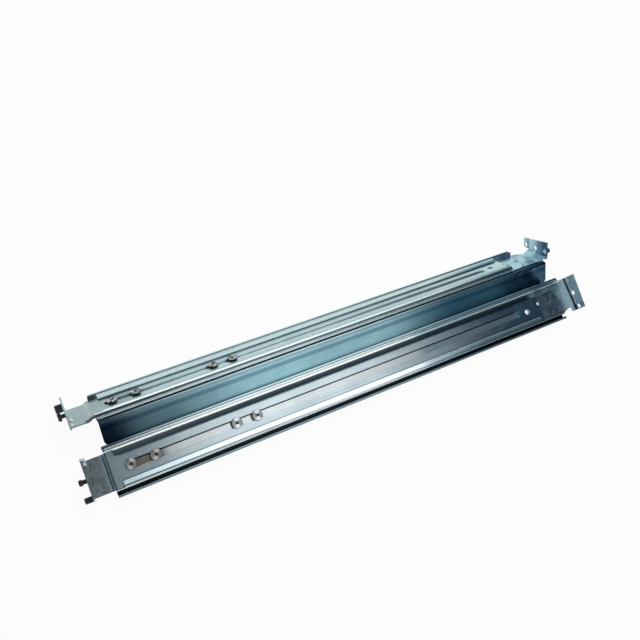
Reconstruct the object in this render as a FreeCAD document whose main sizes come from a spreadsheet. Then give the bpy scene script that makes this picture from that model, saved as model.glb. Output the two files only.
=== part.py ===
import FreeCAD, Part
import os
import Sketcher

# Pair of L-shaped rack rails, one left and one right, lying side by side like two tents.
# Each rail is drawn in its own frame: X from front to rear, Y across the web from the ridge
# (ledge side) to the top edge, Z outward from the web. The right rail uses +Y, the left -Y.
# On the floor the pair's own frame has its origin under the middle of the pair, +X to the rear.
os.makedirs("parts", exist_ok=True)
doc = FreeCAD.newDocument("rack_rail_pair")

# Driving sizes, in millimetres
SIZES = [
    ("rail_len", "550 mm", "front face of front flange to rear face of rear flange"),
    ("web_h", "47.3 mm", "height of the shelf web"),
    ("ledge_w", "25.3 mm", "width of the support ledge"),
    ("shelf_t", "1.5 mm", "shelf sheet"),
    ("hem_h", "5.5 mm", "height of the folded top edge"),
    ("hem_t", "2.4 mm", "thickness of that fold"),
    ("bend_r", "2.7 mm", "outer radius of the ridge bend"),
    ("corner_r", "4.5 mm", "rounded corners of the ledge"),
    ("shelf_back", "7 mm", "rear edge of the shelf, before the rear flange's face"),
    ("hem_gap", "2.9 mm", "space between the channel and the folded edge"),
    ("chan_t", "1.2 mm", "channel sheet"),
    ("foot_reach", "2.5 mm", "the channel's foot stands out this much on the ridge side"),
    ("foot_h", "1.9 mm", "height of that foot"),
    ("lip_gap", "0.5 mm", "free edge of the lips above the slider"),
    ("lip_reach", "7.1 mm", "reach of a lip over the slider"),
    ("lip_drop", "1.3 mm", "fall of the lip from its crest to its free edge"),
    ("chan_front", "19.8 mm", "front end of the channel walls"),
    ("lip_front", "28.3 mm", "front end of the lips"),
    ("chan_back", "9 mm", "rear end of the left channel's ridge-side wall, before the rear face"),
    ("left_top_cut", "11 mm", "the left channel's top-side wall ends this much earlier"),
    ("right_ridge_cut", "43 mm", "the right channel's ridge-side wall ends this much earlier"),
    ("right_top_cut", "15 mm", "the right channel's top-side wall ends this much earlier"),
    ("lip_back", "52 mm", "rear end of the top-side lips, before the rear face"),
    ("rear_rise", "3.5 mm", "rise of the sloped step before the rear flange"),
    ("rear_step", "5.5 mm", "length of that step"),
    ("flange_half", "19.2 mm", "half height of the end flanges"),
    ("flange_t", "1.5 mm", "end flanges"),
    ("flange_rise", "19.5 mm", "rise of the rear flange from the channel base, at the ridge side"),
    ("flange_fall", "3.6 mm", "its free edge falls this much to the top side"),
    ("rear_up", "8 mm", "rear holes above the channel base"),
    ("ear_r", "3.6 mm", "round ear below the top hole of the right rear flange"),
    ("lobe_drop", "0.5 mm", "the round lobe at the bottom rear hole reaches this far below the base"),
    ("left_neck", "4 mm", "notch in the left channel before the rear flange"),
    ("right_neck", "7.5 mm", "the right channel narrows this much before the rear flange"),
    ("front_rise", "14.7 mm", "rise of the front flange from its plate"),
    ("front_up", "4.4 mm", "front pegs and nut above that plate"),
    ("hole_pitch", "15.875 mm", "rack hole spacing"),
    ("hole_d", "5.2 mm", "holes in the rear flange"),
    ("stem_d", "4.6 mm", "pegs' stems in the front flange"),
    ("strip_t", "1.6 mm", "slider sheet"),
    ("run_gap", "0.4 mm", "running gap of the slider"),
    ("side_gap", "0.4 mm", "side gap of the slider"),
    ("strip_back", "46 mm", "rear end of the slider, before the rear face"),
    ("plate_len", "17.2 mm", "length of the front plate"),
    ("joggle_len", "3.6 mm", "length of the sloped step"),
    ("joggle_drop", "2.2 mm", "depth of the sloped step"),
    ("slot_w", "7.6 mm", "width of the long slot"),
    ("slot_back", "74 mm", "rear end of the long slot, before the rear face"),
    ("gauge_d", "6 mm", "round hole behind the slot, through all three sheets"),
    ("gauge_back", "64 mm", "its place, before the rear face"),
    ("gauge_off", "1.5 mm", "its distance from the centre line"),
    ("rivet_x1", "39.2 mm", "guide rivet 1"),
    ("rivet_x2", "61.8 mm", "guide rivet 2"),
    ("rivet_x3", "139.5 mm", "guide rivet 3"),
    ("rivet_x4", "160.1 mm", "guide rivet 4"),
    ("rivet_head", "10.5 mm", "head of a guide rivet"),
    ("rivet_head_h", "1.6 mm", "thickness of the head"),
    ("rivet_shank", "7 mm", "shank, which runs in the slot and holds the two sheets"),
    ("peg_len", "6.6 mm", "reach of a front peg"),
    ("peg_w", "5.5 mm", "width of a front peg"),
    ("peg_n", "8 mm", "depth of a front peg"),
    ("peg_neck", "4 mm", "neck of the middle peg"),
    ("nut_d", "7 mm", "press nut"),
    ("nut_len", "3 mm", "reach of the press nut"),
    ("nut_bore", "4.2 mm", "core hole of the nut"),
    ("rear_peg_len", "5 mm", "reach of the rear peg"),
    ("rear_peg_d", "6 mm", "rear peg"),
    ("gusset", "5 mm", "length of the gusset in the rear bend"),
    ("gusset_w", "4 mm", "its width"),
    ("pair_gap", "0.8 mm", "space between the two ledges"),
    ("pair_shift", "5 mm", "the right rail lies this much further back"),
    ("draw_out", "3.5 mm", "the right slider is drawn out this much"),
]
# Sizes that follow from the driving ones
DERIVED = [
    ("tilt", "=atan((ledge_w - shelf_t) / (web_h - shelf_t))"),
    ("ridge_z", "=ledge_w * cos(tilt) + shelf_t * sin(tilt)"),
    ("ridge_y", "=ledge_w * sin(tilt) + pair_gap / 2"),
    ("mid_x", "=(rail_len + pair_shift + rear_peg_len - peg_len) / 2"),
    ("row_c", "=(bend_r + foot_reach + web_h - hem_t - hem_gap) / 2"),
    ("chan_half", "=(web_h - hem_t - hem_gap - bend_r - foot_reach) / 2"),
    ("lip_in", "=chan_half - lip_reach"),
    ("shelf_rear", "=rail_len - shelf_back"),
    ("chan_rear", "=rail_len - chan_back"),
    ("lip_rear", "=rail_len - lip_back"),
    ("strip_end", "=rail_len - strip_back"),
    ("slot_end", "=rail_len - slot_back"),
    ("gauge_x", "=rail_len - gauge_back"),
    ("strip_low", "=chan_t + run_gap"),
    ("strip_top", "=strip_low + strip_t"),
    ("chan_h", "=strip_top + lip_gap + chan_t + lip_drop"),
    ("strip_half", "=chan_half - chan_t - side_gap"),
    ("plate_top", "=strip_top - joggle_drop"),
    ("plate_low", "=plate_top - strip_t"),
    ("front_n", "=plate_top + front_up"),
    ("rear_n", "=chan_t + rear_up"),
    ("lean", "=strip_t * tan(atan(joggle_drop / joggle_len) / 2)"),
    ("rear_lean", "=chan_t * tan(atan(rear_rise / rear_step) / 2)"),
    ("base_front", "=plate_len + joggle_len + lean + run_gap"),
    ("shelf_front", "=base_front - chan_t"),
]

sheet = doc.addObject("Spreadsheet::Sheet", "Sizes")
row = 0
for alias, text, note in SIZES:
    row += 1
    sheet.set("A%d" % row, note)
    sheet.set("B%d" % row, text)
    sheet.setAlias("B%d" % row, alias)
for alias, text in DERIVED:
    row += 1
    sheet.set("A%d" % row, "follows from the sizes above")
    sheet.set("B%d" % row, text)
    sheet.setAlias("B%d" % row, alias)
doc.recompute()
NAMES = sorted([s[0] for s in SIZES] + [d[0] for d in DERIVED], key=len, reverse=True)


def bound(text):
    """Puts the sheet's name before each size in an expression."""
    out = ""
    word = ""
    for ch in text + " ":
        if ch.isalnum() or ch == "_":
            word += ch
            continue
        out += "Sizes." + word if word in NAMES else word
        out += ch
        word = ""
    return out.strip()


def value(text):
    """Reads an expression's present value in millimetres."""
    found = sheet.evalExpression(bound(text))
    return found.Value if hasattr(found, "Value") else float(found)


def new_body(label):
    body = doc.addObject("PartDesign::Body", label)
    body.Label = label
    return body


def new_sketch(body, name, role, level=None):
    """A sketch on one of the body's own planes, raised along the plane's normal."""
    sketch = body.newObject("Sketcher::SketchObject", name)
    plane = [f for f in body.Origin.OriginFeatures if f.Role == role][0]
    sketch.AttachmentSupport = [(plane, "")]
    sketch.MapMode = "FlatFace"
    if level:
        sketch.setExpression("AttachmentOffset.Base.z", bound(level))
    return sketch


def hold(sketch, kind, geometry, point, text):
    number = sketch.addConstraint(Sketcher.Constraint(kind, -1, 1, geometry, point, value(text)))
    sketch.setExpression("Constraints[%d]" % number, bound(text))


def outline(sketch, points):
    """A closed outline whose corners are all held by expressions."""
    spots = [FreeCAD.Vector(value(a), value(b), 0) for a, b in points]
    count = len(spots)
    first = sketch.GeometryCount
    for i in range(count):
        sketch.addGeometry(Part.LineSegment(spots[i], spots[(i + 1) % count]))
    for i in range(count):
        follow = first + (i + 1) % count
        sketch.addConstraint(Sketcher.Constraint("Coincident", first + i, 2, follow, 1))
    for i in range(count):
        hold(sketch, "DistanceX", first + i, 1, points[i][0])
        hold(sketch, "DistanceY", first + i, 1, points[i][1])


def ring(sketch, across, up, diameter):
    """A circle held by its centre and its diameter."""
    centre = FreeCAD.Vector(value(across), value(up), 0)
    round_edge = Part.Circle(centre, FreeCAD.Vector(0, 0, 1), value(diameter) / 2)
    number = sketch.addGeometry(round_edge)
    hold(sketch, "DistanceX", number, 3, across)
    hold(sketch, "DistanceY", number, 3, up)
    size = sketch.addConstraint(Sketcher.Constraint("Diameter", number, value(diameter)))
    sketch.setExpression("Constraints[%d]" % size, bound(diameter))


def box_points(x0, x1, y0, y1):
    return [(x0, y0), (x1, y0), (x1, y1), (x0, y1)]


def pad(body, name, sketch, length, back=False):
    feature = body.newObject("PartDesign::Pad", name)
    feature.Profile = sketch
    feature.setExpression("Length", bound(length))
    feature.Reversed = back
    sketch.Visibility = False
    doc.recompute()
    return feature


def pocket(body, name, sketch, length=None, back=False):
    feature = body.newObject("PartDesign::Pocket", name)
    feature.Profile = sketch
    if length:
        feature.setExpression("Length", bound(length))
        feature.Reversed = back
    else:
        feature.Type = "ThroughAll"
        feature.Midplane = True
    sketch.Visibility = False
    doc.recompute()
    return feature


def long_edges(shape, axis, spots):
    """Names of the straight edges that run along an axis through the given spots."""
    names = []
    other = [i for i in range(3) if i != axis]
    for number, edge in enumerate(shape.Edges):
        a = edge.Vertexes[0].Point
        b = edge.Vertexes[-1].Point
        if any(abs(a[i] - b[i]) > 1e-5 for i in other) or abs(a[axis] - b[axis]) < 1e-5:
            continue
        if any(all(abs(a[i] - s[k]) < 1e-4 for k, i in enumerate(other)) for s in spots):
            names.append("Edge%d" % (number + 1))
    return names


def rounded(body, name, base, axis, spots, radius):
    names = long_edges(base.Shape, axis, [(value(a), value(b)) for a, b in spots])
    feature = body.newObject("PartDesign::Fillet", name)
    feature.Base = (base, names)
    feature.setExpression("Radius", bound(radius))
    doc.recompute()
    return feature


def lay(body, hand, x="0 mm", across="0 mm", out="0 mm", slides=False):
    """Lays a body on the floor with its rail, from a spot in the rail's own frame."""
    if hand > 0:
        x += " + pair_shift - draw_out" if slides else " + pair_shift"
    body.Placement = FreeCAD.Placement(FreeCAD.Vector(), FreeCAD.Rotation(FreeCAD.Vector(1, 0, 0), 1))
    body.setExpression("Placement.Rotation.Angle", bound("%d * tilt" % -hand))
    body.setExpression("Placement.Base.x", bound(x + " - mid_x"))
    spot_y = "%d * (ridge_y + (%s) * cos(tilt) + (%s) * sin(tilt))" % (hand, across, out)
    body.setExpression("Placement.Base.y", bound(spot_y))
    spot_z = "ridge_z - (%s) * sin(tilt) + (%s) * cos(tilt)" % (across, out)
    body.setExpression("Placement.Base.z", bound(spot_z))


def side(hand, text):
    """A distance from the ridge, on the rail's own side."""
    return "%d * (%s)" % (hand, text)


def rivet_row(body, name, hand):
    holes = new_sketch(body, name + "_sketch", "XY_Plane")
    for k in range(1, 5):
        ring(holes, "rivet_x%d" % k, side(hand, "row_c"), "rivet_shank")
    gauge_holes(holes, hand)
    return pocket(body, name, holes)


def gauge_holes(holes, hand):
    """The round hole behind the slot and the notch at the slider's end."""
    ring(holes, "gauge_x", side(hand, "row_c + gauge_off"), "gauge_d")
    ring(holes, "strip_end", side(hand, "row_c - gauge_d / 2"), "gauge_d * 0.8")


def flange_row(body, name, hand, level, sizes):
    holes = new_sketch(body, name + "_sketch", "YZ_Plane", "rail_len" if level == "rear_n" else None)
    for k, size in zip((-1, 0, 1), sizes):
        ring(holes, side(hand, "row_c + %d * hole_pitch" % k), level, size)
    cut = pocket(body, name, holes)
    cut.Midplane = False
    cut.Type = "Length"
    cut.setExpression("Length", bound("2 * flange_t"))
    cut.Midplane = True
    doc.recompute()
    return cut


# Shelf: web, ledge and folded top edge, bent from one sheet
def make_shelf(hand, tag, top_lip, neck_in):
    body = new_body(tag + "_shelf")
    section = new_sketch(body, "section", "YZ_Plane", "shelf_front")
    outline(section, [
        ("0 mm", "-ledge_w"),
        ("0 mm", "0 mm"),
        (side(hand, "web_h - hem_t"), "0 mm"),
        (side(hand, "web_h - hem_t"), "hem_h"),
        (side(hand, "web_h"), "hem_h"),
        (side(hand, "web_h"), "-shelf_t"),
        (side(hand, "shelf_t"), "-shelf_t"),
        (side(hand, "shelf_t"), "-ledge_w"),
    ])
    bar = pad(body, "sheet", section, "shelf_rear - shelf_front")
    ends = [("shelf_front", "-ledge_w"), ("shelf_rear", "-ledge_w")]
    corners = rounded(body, "ledge_corners", bar, 1, ends, "corner_r")
    outer = rounded(body, "ridge_outer", corners, 0, [("0 mm", "0 mm")], "bend_r")
    inside = (side(hand, "shelf_t"), "-shelf_t")
    inner = rounded(body, "ridge_inner", outer, 0, [inside], "bend_r - shelf_t * 0.9")
    fold = [(side(hand, "web_h - hem_t"), "hem_h"), (side(hand, "web_h"), "hem_h")]
    last = rounded(body, "hem_fold", inner, 0, fold, "hem_t * 0.42")
    corner = new_sketch(body, "rear_corner_sketch", "XY_Plane")
    cut_low = side(hand, "row_c + chan_half - 2 * shelf_t - " + neck_in)
    outline(corner, box_points(top_lip, "shelf_rear + shelf_t", cut_low, side(hand, "web_h + shelf_t")))
    pocket(body, "rear_corner", corner)
    rivet_row(body, "rivet_holes", hand)
    lay(body, hand)
    return body


# Channel: base with a foot on the ridge side, walls and curled lips, with the rear flange bent up.
# The lips are the part that takes the most skill: each folds over the slider's edge
# and falls again towards its free edge, and both are cut back at the two ends.
def make_channel(hand, tag, ridge_lip, top_lip, neck_in, neck_end):
    body = new_body(tag + "_channel")
    floor = new_sketch(body, "floor", "YZ_Plane", "base_front")
    foot = side(hand, "bend_r")
    low = side(hand, "row_c - chan_half")
    high = side(hand, "row_c + chan_half")
    outline(floor, [(low, "0 mm"), (high, "0 mm"), (high, "chan_t"), (low, "chan_t")])
    pad(body, "base", floor, "chan_rear - base_front")
    toe = new_sketch(body, "foot_section", "YZ_Plane", "base_front")
    step = side(hand, "row_c - chan_half + chan_t / 2")
    outline(toe, [(foot, "0 mm"), (step, "0 mm"), (step, "foot_h"), (foot, "foot_h")])
    last = pad(body, "foot", toe, "%s - base_front" % ridge_lip)
    last = rounded(body, "foot_edge", last, 0, [(foot, "foot_h")], "foot_h * 0.4")
    for name, way, reach in (("ridge", -1, ridge_lip), ("top", 1, top_lip)):
        lip = new_sketch(body, name + "_lip_section", "YZ_Plane", "chan_front")

        def spot(out, up):
            return (side(hand, "row_c + %d * (%s)" % (way, out)), up)

        crest = "chan_half - 2.6 * chan_t"
        outline(lip, [
            spot("chan_half - chan_t", "0 mm"),
            spot("chan_half", "0 mm"),
            spot("chan_half", "chan_h"),
            spot(crest, "chan_h"),
            spot("lip_in", "chan_h - lip_drop"),
            spot("lip_in + chan_t * 0.35", "chan_h - lip_drop - chan_t"),
            spot(crest + " + chan_t * 0.15", "chan_h - chan_t"),
            spot("chan_half - chan_t", "chan_h - chan_t"),
        ])
        last = pad(body, name + "_lip", lip, "%s - chan_front" % reach)
        edge = spot("chan_half", "chan_h")
        last = rounded(body, name + "_crest", last, 0, [edge], "chan_t * 1.7")
        last = rounded(body, name + "_fall", last, 0, [spot(crest, "chan_h")], "chan_t * 2.5")
        inside = spot("chan_half - chan_t", "chan_h - chan_t")
        last = rounded(body, name + "_crest_inside", last, 0, [inside], "chan_t * 0.7")
    relief = new_sketch(body, "lip_relief_sketch", "XY_Plane", "strip_top")
    inner_low = side(hand, "row_c - chan_half + chan_t")
    inner_high = side(hand, "row_c + chan_half - chan_t")
    outline(relief, box_points("chan_front - chan_t", "lip_front", inner_low, inner_high))
    outline(relief, box_points("lip_rear", "rail_len", side(hand, "row_c"), inner_high))
    pocket(body, "lip_relief", relief, "2 * chan_h", True)
    tail = new_sketch(body, "rear_end_section", "XZ_Plane", side(-hand, "row_c - flange_half"))
    step_end = "chan_rear + rear_step"
    bend_in = ("rail_len - flange_t", "rear_rise + chan_t")
    bend_out = ("rail_len", "rear_rise")
    step_points = [("chan_rear", "0 mm"), (step_end, "rear_rise")]
    step_tops = [("chan_rear - rear_lean", "chan_t"), (step_end + " - rear_lean", bend_in[1])]
    start = "chan_rear - 2 * flange_t"
    tip = "chan_t + flange_rise"
    outline(tail, [
        (start, "0 mm"), *step_points, bend_out, ("rail_len", tip),
        ("rail_len - flange_t", tip), bend_in, *step_tops[::-1], (start, "chan_t"),
    ])
    last = pad(body, "rear_end", tail, "2 * flange_half", hand > 0)
    last = rounded(body, "rear_bend", last, 1, [bend_out], "flange_t * 1.2")
    rounded(body, "rear_step_bends", last, 1, [*step_points[1:], step_tops[1]], "chan_t * 0.9")
    f_low = side(hand, "row_c - flange_half")
    f_high = side(hand, "row_c + flange_half")
    past = side(hand, "row_c + flange_half + flange_t")
    slant = new_sketch(body, "flange_slant_sketch", "YZ_Plane", "rail_len + flange_t")
    over = tip + " + flange_t"
    outline(slant, [(f_low, tip), (f_low, over), (past, over), (past, tip + " - flange_fall")])
    last = pocket(body, "flange_slant", slant, "gusset + 2 * flange_t")
    neck = new_sketch(body, "neck_sketch", "XY_Plane", "rear_n - ear_r")
    n_edge = side(hand, "row_c + chan_half - " + neck_in)
    clear = side(hand, "row_c + chan_half + flange_half")
    outline(neck, [
        (top_lip + " + chan_t", clear),
        (top_lip + " + chan_t", side(hand, "row_c + chan_half")),
        ("chan_rear - chan_t", n_edge),
        (neck_end, n_edge),
        (neck_end, clear),
    ])
    last = pocket(body, "neck", neck, "rear_n + chan_t")
    last = rounded(body, "neck_curve", last, 2, [("chan_rear - chan_t", n_edge)], neck_in)
    if long_edges(last.Shape, 0, [(value(f_high), value("rear_n - ear_r"))]):
        rounded(body, "ear", last, 0, [(f_high, "rear_n - ear_r")], "ear_r * 0.9")
    lobe = new_sketch(body, "lobe_sketch", "YZ_Plane", "rail_len - flange_t")
    lobe_in = side(hand, "row_c - 2 * hole_pitch + flange_half")
    outline(lobe, box_points(f_low, lobe_in, "-lobe_drop", "rear_n"))
    last = pad(body, "lobe", lobe, "flange_t")
    low_corners = [(f_low, "-lobe_drop"), (lobe_in, "-lobe_drop")]
    lobe_r = "min((flange_half - hole_pitch) * 0.9; rear_rise * 0.9)"
    rounded(body, "lobe_corners", last, 0, low_corners, lobe_r)
    stiff = new_sketch(body, "gusset_section", "XZ_Plane", side(-hand, "row_c - gusset_w / 2"))
    outline(stiff, [
        ("rail_len - flange_t - gusset", "rear_rise / 2"),
        ("rail_len - flange_t / 2", "rear_rise + chan_t / 2"),
        ("rail_len - flange_t / 2", "rear_n - hole_d * 0.6"),
        ("rail_len - flange_t", "rear_n - hole_d * 0.6"),
    ])
    pad(body, "rear_gusset", stiff, "gusset_w", hand > 0)
    flange_row(body, "rear_holes", hand, "rear_n", ("hole_d",) * 3)
    rivet_row(body, "rivet_holes", hand)
    lay(body, hand)
    return body


# Slider: front flange, front plate, sloped step and the long slotted strip, from one sheet
def make_slider(hand, tag):
    body = new_body(tag + "_slider")
    run = new_sketch(body, "side_section", "XZ_Plane", side(-hand, "row_c - strip_half"))
    step_end = "plate_len + joggle_len"
    outline(run, [
        ("0 mm", "plate_low"),
        ("plate_len + lean", "plate_low"),
        (step_end + " + lean", "strip_low"),
        ("strip_end", "strip_low"),
        ("strip_end", "strip_top"),
        (step_end, "strip_top"),
        ("plate_len", "plate_top"),
        ("0 mm", "plate_top"),
    ])
    last = pad(body, "strip", run, "2 * strip_half", hand > 0)
    bends = [("plate_len", "plate_top"), (step_end, "strip_top")]
    bends += [("plate_len + lean", "plate_low"), (step_end + " + lean", "strip_low")]
    last = rounded(body, "step_bends", last, 1, bends, "strip_t * 1.2")
    upright = new_sketch(body, "front_flange_section", "YZ_Plane")
    low = side(hand, "row_c - flange_half")
    high = side(hand, "row_c + flange_half")
    outline(upright, box_points(low, high, "plate_low", "plate_top + front_rise"))
    last = pad(body, "front_flange", upright, "flange_t")
    tips = [(low, "plate_top + front_rise"), (high, "plate_top + front_rise")]
    last = rounded(body, "front_flange_corners", last, 0, tips, "flange_t * 1.5")
    last = rounded(body, "front_bend", last, 1, [("0 mm", "plate_low")], "flange_t * 0.9")
    slot = new_sketch(body, "slot_sketch", "XY_Plane")
    slot_low = side(hand, "row_c - slot_w / 2")
    slot_high = side(hand, "row_c + slot_w / 2")
    outline(slot, box_points("rivet_x1", "slot_end - slot_w / 2", slot_low, slot_high))
    pocket(body, "slot", slot)
    round_ends = new_sketch(body, "slot_ends_sketch", "XY_Plane")
    ring(round_ends, "rivet_x1", side(hand, "row_c"), "slot_w")
    ring(round_ends, "slot_end - slot_w / 2", side(hand, "row_c"), "slot_w")
    gauge_holes(round_ends, hand)
    pocket(body, "slot_ends", round_ends)
    flange_row(body, "front_holes", hand, "front_n", ("hole_d", "stem_d", "stem_d"))
    lay(body, hand, slides=True)
    return body


# Guide rivet: turned, fixed through channel and shelf, its shank runs in the slider's slot
def make_rivet(hand, tag, number):
    body = new_body("%s_guide_rivet_%d" % (tag, number))
    half = new_sketch(body, "half_section", "XZ_Plane")
    head_low = "strip_top + run_gap"
    head_top = "strip_top + run_gap + rivet_head_h"
    outline(half, [
        ("0 mm", "-shelf_t"),
        ("rivet_shank / 2", "-shelf_t"),
        ("rivet_shank / 2", head_low),
        ("rivet_head / 2", head_low),
        ("rivet_head / 2", head_top),
        ("0 mm", head_top),
    ])
    turned = body.newObject("PartDesign::Revolution", "turned")
    turned.Profile = half
    turned.ReferenceAxis = (half, ["V_Axis"])
    turned.Angle = 360
    half.Visibility = False
    doc.recompute()
    lay(body, hand, "rivet_x%d" % number, "row_c")
    return body


# Front pegs: blackened steel, riveted in the front flange; the middle one has a neck and a head
def make_front_peg(hand, tag, name, place, necked):
    body = new_body("%s_front_peg_%s" % (tag, name))
    stem = new_sketch(body, "stem_sketch", "YZ_Plane")
    ring(stem, "0 mm", "0 mm", "stem_d")
    pad(body, "stem", stem, "flange_t")
    neck_len = "peg_len * %g" % (0.5 if necked else 0)
    if necked:
        neck = new_sketch(body, "neck_sketch", "YZ_Plane")
        ring(neck, "0 mm", "0 mm", "peg_neck")
        pad(body, "neck", neck, neck_len, True)
    head = new_sketch(body, "head_sketch", "YZ_Plane", "-1 * " + neck_len)
    outline(head, box_points("-peg_w / 2", "peg_w / 2", "-peg_n / 2", "peg_n / 2"))
    last = pad(body, "head", head, "peg_len - " + neck_len, True)
    edges = [("-peg_w / 2", "-peg_n / 2"), ("peg_w / 2", "-peg_n / 2")]
    edges += [("-peg_w / 2", "peg_n / 2"), ("peg_w / 2", "peg_n / 2")]
    last = rounded(body, "head_sides", last, 0, edges, "peg_w * 0.4")
    nose = body.newObject("PartDesign::Chamfer", "head_nose")
    front = [f for f in last.Shape.Faces if f.BoundBox.XMax < value("-peg_len") + 1e-4][0]
    number = [i for i, f in enumerate(last.Shape.Faces) if f.isSame(front)][0]
    nose.Base = (last, ["Face%d" % (number + 1)])
    nose.setExpression("Size", bound("peg_w * 0.15"))
    doc.recompute()
    lay(body, hand, "0 mm", place, "front_n", True)
    return body


# Press nut: bright collar with a threaded hole, pressed in the front flange
def make_nut(hand, tag):
    body = new_body(tag + "_press_nut")
    stem = new_sketch(body, "stem_sketch", "YZ_Plane")
    ring(stem, "0 mm", "0 mm", "hole_d")
    pad(body, "stem", stem, "flange_t")
    collar = new_sketch(body, "collar_sketch", "YZ_Plane", "flange_t")
    ring(collar, "0 mm", "0 mm", "nut_d")
    pad(body, "collar", collar, "nut_len")
    bore = new_sketch(body, "bore_sketch", "YZ_Plane")
    ring(bore, "0 mm", "0 mm", "nut_bore")
    pocket(body, "bore", bore)
    lay(body, hand, "0 mm", "row_c - hole_pitch", "front_n", True)
    return body


# Rear peg: blackened, domed, riveted in the bottom hole of the rear flange
def make_rear_peg(hand, tag):
    body = new_body(tag + "_rear_peg")
    half = new_sketch(body, "half_section", "XZ_Plane")
    outline(half, [
        ("-flange_t", "0 mm"),
        ("-flange_t", "hole_d / 2"),
        ("0 mm", "hole_d / 2"),
        ("0 mm", "rear_peg_d / 2"),
        ("rear_peg_len * 0.7", "rear_peg_d / 2"),
        ("rear_peg_len", "rear_peg_d * 0.3"),
        ("rear_peg_len", "0 mm"),
    ])
    turned = body.newObject("PartDesign::Revolution", "turned")
    turned.Profile = half
    turned.ReferenceAxis = (half, ["H_Axis"])
    turned.Angle = 360
    half.Visibility = False
    doc.recompute()
    lay(body, hand, "rail_len", "row_c - hole_pitch", "rear_n")
    return body


# The two rails: the lips and the neck end a little differently at the rear of each
bodies = []
for hand, tag, ridge_lip, top_lip, neck_in, neck_end in (
    (-1, "left", "chan_rear", "chan_rear - left_top_cut", "left_neck", "chan_rear + rear_step / 2"),
    (1, "right", "chan_rear - right_ridge_cut", "chan_rear - right_top_cut", "right_neck",
     "rail_len + flange_t"),
):
    bodies.append(make_shelf(hand, tag, top_lip, neck_in))
    bodies.append(make_channel(hand, tag, ridge_lip, top_lip, neck_in, neck_end))
    bodies.append(make_slider(hand, tag))
    for number in range(1, 5):
        bodies.append(make_rivet(hand, tag, number))
    bodies.append(make_front_peg(hand, tag, "top", "row_c + hole_pitch", False))
    bodies.append(make_front_peg(hand, tag, "mid", "row_c", True))
    bodies.append(make_nut(hand, tag))
    bodies.append(make_rear_peg(hand, tag))
doc.recompute()

# Every object must be sound before it is written
for item in doc.Objects:
    if "Invalid" in item.State or "Error" in item.State:
        raise RuntimeError("%s is not sound: %s" % (item.Label, item.State))
for body in bodies:
    if body.Shape.isNull() or not body.Shape.isValid() or len(body.Shape.Solids) != 1:
        raise RuntimeError("%s has no sound solid" % body.Label)
    body.Shape.exportStep("parts/%s.step" % body.Label)
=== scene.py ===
import math

import bmesh
import bpy
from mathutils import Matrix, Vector


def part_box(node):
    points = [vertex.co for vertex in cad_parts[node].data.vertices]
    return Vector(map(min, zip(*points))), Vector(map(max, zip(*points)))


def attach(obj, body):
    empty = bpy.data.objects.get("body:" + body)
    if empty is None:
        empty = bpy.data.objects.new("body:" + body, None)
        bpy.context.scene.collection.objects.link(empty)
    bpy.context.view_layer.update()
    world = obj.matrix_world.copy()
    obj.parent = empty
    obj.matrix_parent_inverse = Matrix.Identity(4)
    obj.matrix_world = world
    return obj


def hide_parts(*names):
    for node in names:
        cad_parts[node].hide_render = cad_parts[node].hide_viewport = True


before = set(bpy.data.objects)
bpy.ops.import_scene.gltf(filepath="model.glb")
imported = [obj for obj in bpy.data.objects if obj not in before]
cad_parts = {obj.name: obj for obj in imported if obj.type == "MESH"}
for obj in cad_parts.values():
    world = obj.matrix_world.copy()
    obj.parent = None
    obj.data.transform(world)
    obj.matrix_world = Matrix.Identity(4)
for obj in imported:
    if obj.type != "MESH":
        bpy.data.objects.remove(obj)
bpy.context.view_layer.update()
scene = bpy.context.scene

# Shelves: one long steel sheet for each rail, bent along the ridge into a web and a support ledge.
# The top edge is folded back as a hem, and the whole sheet is zinc plated with a blue rinse.
# Press brake work: the edges are deburred, and the rolling grain runs along the rail.
SIDES = ("left", "right")
WEB_HEIGHT = 0.0473
LEDGE_WIDTH = 0.0253
SHELF_SHEET = 0.0015
SHELF_EDGE = 0.0003
RIDGE_SIDE = 0.0120661
RIDGE_HEIGHT = 0.0231415
SHELF_LIGHT = (0.58, 0.74, 0.76, 1)
SHELF_DEEP = (0.43, 0.57, 0.63, 1)
EDGE_LIGHT = (0.86, 0.92, 0.93, 1)
EDGE_DEEP = (0.6, 0.68, 0.7, 1)
tilt = math.atan((LEDGE_WIDTH - SHELF_SHEET) / (WEB_HEIGHT - SHELF_SHEET))


def put(tree, kind, sockets=None, **options):
    """Adds a node, sets its options, and fills its sockets with values or links."""
    node = tree.nodes.new(kind)
    for option, setting in options.items():
        setattr(node, option, setting)
    for key, filling in (sockets or {}).items():
        if isinstance(filling, bpy.types.NodeSocket):
            tree.links.new(filling, node.inputs[key])
        else:
            node.inputs[key].default_value = filling
    return node


def calc(tree, operation, first, second=0.0):
    """One step of arithmetic."""
    return put(tree, "ShaderNodeMath", {0: first, 1: second}, operation=operation).outputs[0]


def remap(tree, value, start, end, low=0.0, high=1.0, kind="LINEAR"):
    """Runs from low to high while value goes from start to end."""
    sockets = {0: value, 1: start, 2: end, 3: low, 4: high}
    return put(tree, "ShaderNodeMapRange", sockets, interpolation_type=kind).outputs[0]


def cloudy(tree, spot, scale, detail):
    """Soft noise, with scale in patches per metre."""
    return put(tree, "ShaderNodeTexNoise", {"Vector": spot, "Scale": scale, "Detail": detail}).outputs[0]


def object_spot(tree):
    """The place on the piece, in metres of the shared frame."""
    return put(tree, "ShaderNodeTexCoord").outputs["Object"]


def blend_colour(tree, amount, first, second, kind="MIX"):
    """Goes from the first colour to the second, or multiplies the first by it."""
    sockets = {"Factor": amount, 6: first, 7: second}
    return put(tree, "ShaderNodeMix", sockets, data_type="RGBA", blend_type=kind).outputs[2]


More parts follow.
